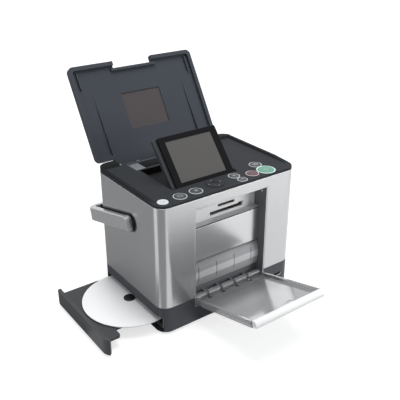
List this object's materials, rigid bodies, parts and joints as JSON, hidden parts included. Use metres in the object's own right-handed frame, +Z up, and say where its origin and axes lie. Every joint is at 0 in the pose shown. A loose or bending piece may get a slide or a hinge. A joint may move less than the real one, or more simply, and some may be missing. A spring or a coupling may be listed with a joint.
{
  "type": "compact photo printer",
  "caption": "Compact upright photo printer standing open: raised lid, tilted screen, fold-down print tray, side disc drive with a disc, and a swinging carrying handle.",
  "frame": {"origin": "on the table under the middle of the whole printer's footprint, as it stands open", "axes": "+Z up; -Y is the front, to which the print tray folds down; -X is the side of the disc drive"},
  "size_m": [0.2901, 0.3369, 0.2829],
  "materials": {
    "base_charcoal": "fine matte texture",
    "steel": "plain",
    "pale_rubber": "matte",
    "silver_shell": "satin metallic silver",
    "deck_graphite": "satin",
    "black_plastic": "matte",
    "dark_liner": "matte",
    "silver_panel": "satin silver",
    "white_plastic": "satin",
    "board_green": "solder mask",
    "black_rubber": "matte",
    "window_smoke": "smoked clear plastic",
    "gloss_black": "glossy",
    "screen_grey": "dark screen behind clear cover",
    "tray_clear": "frosted translucent",
    "drive_charcoal": "matte",
    "disc_white": "printable white face",
    "start_green": "satin",
    "brass": "plain"
  },
  "bodies": {
    "casing": {"base_case": "base_charcoal", "base_screws": "steel", "rubber_feet": "pale_rubber", "outer_shell": "silver_shell", "rear_panel": "silver_shell", "screw_posts": "base_charcoal", "top_deck": "deck_graphite", "lcd_well": "black_plastic", "recess_liner": "dark_liner", "card_panel": "silver_panel", "inner_panel": "silver_panel", "exit_guide": "silver_panel", "latch_pin": "white_plastic", "pocket_liners": "black_plastic", "hinge_bracket": "silver_panel", "feed_chute": "dark_liner", "chassis_frame": "steel", "drive_housing": "steel", "motors": "steel", "main_board": "board_green", "card_reader": "steel", "ink_cartridge": "black_plastic", "rear_sockets": "black_plastic", "camera_socket": "steel", "drive_belt": "black_rubber"},
    "lid": {"lid_panel": "deck_graphite", "lid_window": "window_smoke", "lid_pin": "steel"},
    "screen": {"lcd_frame": "gloss_black", "lcd_back": "deck_graphite", "lcd_glass": "screen_grey"},
    "handle": {"handle_strap": "silver_shell", "handle_grip": "black_rubber"},
    "paper_tray": {"output_tray": "tray_clear", "tray_lip": "white_plastic"},
    "disc_carrier": {"disc_tray": "drive_charcoal", "disc_bezel": "drive_charcoal", "pickup_unit": "steel"},
    "disc_rotor": {"disc": "disc_white", "spindle_hub": "black_plastic"},
    "eject": {"eject_button": "drive_charcoal"},
    "width_guide": {"edge_guide": "silver_panel"},
    "feed": {"feed_roller": "black_rubber", "feed_gear": "white_plastic"},
    "idler": {"idler_gear": "white_plastic"},
    "exit": {"exit_roller": "black_rubber"},
    "pinion": {"motor_gear": "brass"},
    "pulley": {"belt_pulley": "white_plastic"},
    "carriage": {"print_carriage": "black_plastic"},
    "door": {"cartridge_door": "base_charcoal"},
    "power_button": {"power_button": "white_plastic"},
    "menu_button": {"menu_button": "deck_graphite"},
    "display_button": {"display_button": "deck_graphite"},
    "nav_pad": {"nav_pad": "deck_graphite"},
    "ok_button": {"ok_button": "gloss_black"},
    "zoom_in_button": {"zoom_in_button": "deck_graphite"},
    "zoom_out_button": {"zoom_out_button": "deck_graphite"},
    "cancel_button": {"cancel_button": "deck_graphite"},
    "view_button": {"view_button": "deck_graphite"},
    "start_button": {"start_button": "start_green"}
  },
  "joints": [
    {"name": "lid_hinge", "type": "hinge", "parent": "casing", "child": "lid", "pos_m": [0.0324, 0.08106, 0.16586], "axis": [1, 0, 0], "range_deg": [0, 72]},
    {"name": "screen_tilt", "type": "hinge", "parent": "casing", "child": "screen", "pos_m": [0.0174, -0.02194, 0.169], "axis": [1, 0, 0], "range_deg": [-50, 25]},
    {"name": "handle_swing", "type": "hinge", "parent": "casing", "child": "handle", "pos_m": [0.0324, 0.00775, 0.1287], "axis": [1, 0, 0], "range_deg": [0, 18]},
    {"name": "tray_fold", "type": "hinge", "parent": "casing", "child": "paper_tray", "pos_m": [0.0324, -0.05394, 0.0314], "axis": [-1, 0, 0], "range_deg": [0, 74.5]},
    {"name": "disc_slide", "type": "slide", "parent": "casing", "child": "disc_carrier", "axis": [-1, 0, 0], "range_m": [-0.073, 0.055]},
    {"name": "disc_spin", "type": "hinge", "parent": "disc_carrier", "child": "disc_rotor", "pos_m": [-0.074, 0.01205, 0.0144], "axis": [0, 0, 1], "continuous": true},
    {"name": "eject_press", "type": "slide", "parent": "disc_carrier", "child": "eject", "axis": [1, 0, 0], "range_m": [0, 0.0008], "stiffness_N_per_m": 400, "springref_m": -0.0005},
    {"name": "guide_slide", "type": "slide", "parent": "casing", "child": "width_guide", "axis": [1, 0, 0], "range_m": [0, 0.012]},
    {"name": "feed_spin", "type": "hinge", "parent": "casing", "child": "feed", "pos_m": [0.0324, 0.02405, 0.08], "axis": [1, 0, 0], "continuous": true},
    {"name": "idler_spin", "type": "hinge", "parent": "casing", "child": "idler", "pos_m": [0.1104, -0.01147, 0.07408], "axis": [1, 0, 0], "continuous": true},
    {"name": "exit_spin", "type": "hinge", "parent": "casing", "child": "exit", "pos_m": [0.0324, -0.03594, 0.07], "axis": [1, 0, 0], "continuous": true},
    {"name": "pinion_spin", "type": "hinge", "parent": "casing", "child": "pinion", "pos_m": [0.1124, 0.04084, 0.05999], "axis": [1, 0, 0], "continuous": true},
    {"name": "carriage_slide", "type": "slide", "parent": "casing", "child": "carriage", "axis": [1, 0, 0], "range_m": [-0.048, 0.048]},
    {"name": "pulley_spin", "type": "hinge", "parent": "casing", "child": "pulley", "pos_m": [0.0964, 0.00505, 0.112], "axis": [0, 1, 0], "continuous": true},
    {"name": "door_hinge", "type": "hinge", "parent": "casing", "child": "door", "pos_m": [0.0004, 0.08375, 0.0478], "axis": [-1, 0, 0], "range_deg": [0, 80]},
    {"name": "power_press", "type": "slide", "parent": "casing", "child": "power_button", "axis": [0, 0, -1], "range_m": [0, 0.0008], "stiffness_N_per_m": 400, "springref_m": -0.0005},
    {"name": "menu_press", "type": "slide", "parent": "casing", "child": "menu_button", "axis": [0, 0, -1], "range_m": [0, 0.0008], "stiffness_N_per_m": 400, "springref_m": -0.0005},
    {"name": "display_press", "type": "slide", "parent": "casing", "child": "display_button", "axis": [0, 0, -1], "range_m": [0, 0.0008], "stiffness_N_per_m": 400, "springref_m": -0.0005},
    {"name": "nav_pad_press", "type": "slide", "parent": "casing", "child": "nav_pad", "axis": [0, 0, -1], "range_m": [0, 0.0008], "stiffness_N_per_m": 400, "springref_m": -0.0005},
    {"name": "ok_press", "type": "slide", "parent": "casing", "child": "ok_button", "axis": [0, 0, -1], "range_m": [0, 0.0008], "stiffness_N_per_m": 400, "springref_m": -0.0005},
    {"name": "zoom_in_press", "type": "slide", "parent": "casing", "child": "zoom_in_button", "axis": [0, 0, -1], "range_m": [0, 0.0008], "stiffness_N_per_m": 400, "springref_m": -0.0005},
    {"name": "zoom_out_press", "type": "slide", "parent": "casing", "child": "zoom_out_button", "axis": [0, 0, -1], "range_m": [0, 0.0008], "stiffness_N_per_m": 400, "springref_m": -0.0005},
    {"name": "cancel_press", "type": "slide", "parent": "casing", "child": "cancel_button", "axis": [0, 0, -1], "range_m": [0, 0.0008], "stiffness_N_per_m": 400, "springref_m": -0.0005},
    {"name": "view_press", "type": "slide", "parent": "casing", "child": "view_button", "axis": [0, 0, -1], "range_m": [0, 0.0008], "stiffness_N_per_m": 400, "springref_m": -0.0005},
    {"name": "start_press", "type": "slide", "parent": "casing", "child": "start_button", "axis": [0, 0, -1], "range_m": [0, 0.0008], "stiffness_N_per_m": 400, "springref_m": -0.0005}
  ],
  "couplings": [
    {"joint": "idler_spin", "follows": "feed_spin", "ratio": -1.25},
    {"joint": "exit_spin", "follows": "feed_spin", "ratio": 2.2727},
    {"joint": "pinion_spin", "follows": "feed_spin", "ratio": -3.3333},
    {"joint": "pulley_spin", "follows": "carriage_slide", "rad_per_m": -153.85}
  ]
}
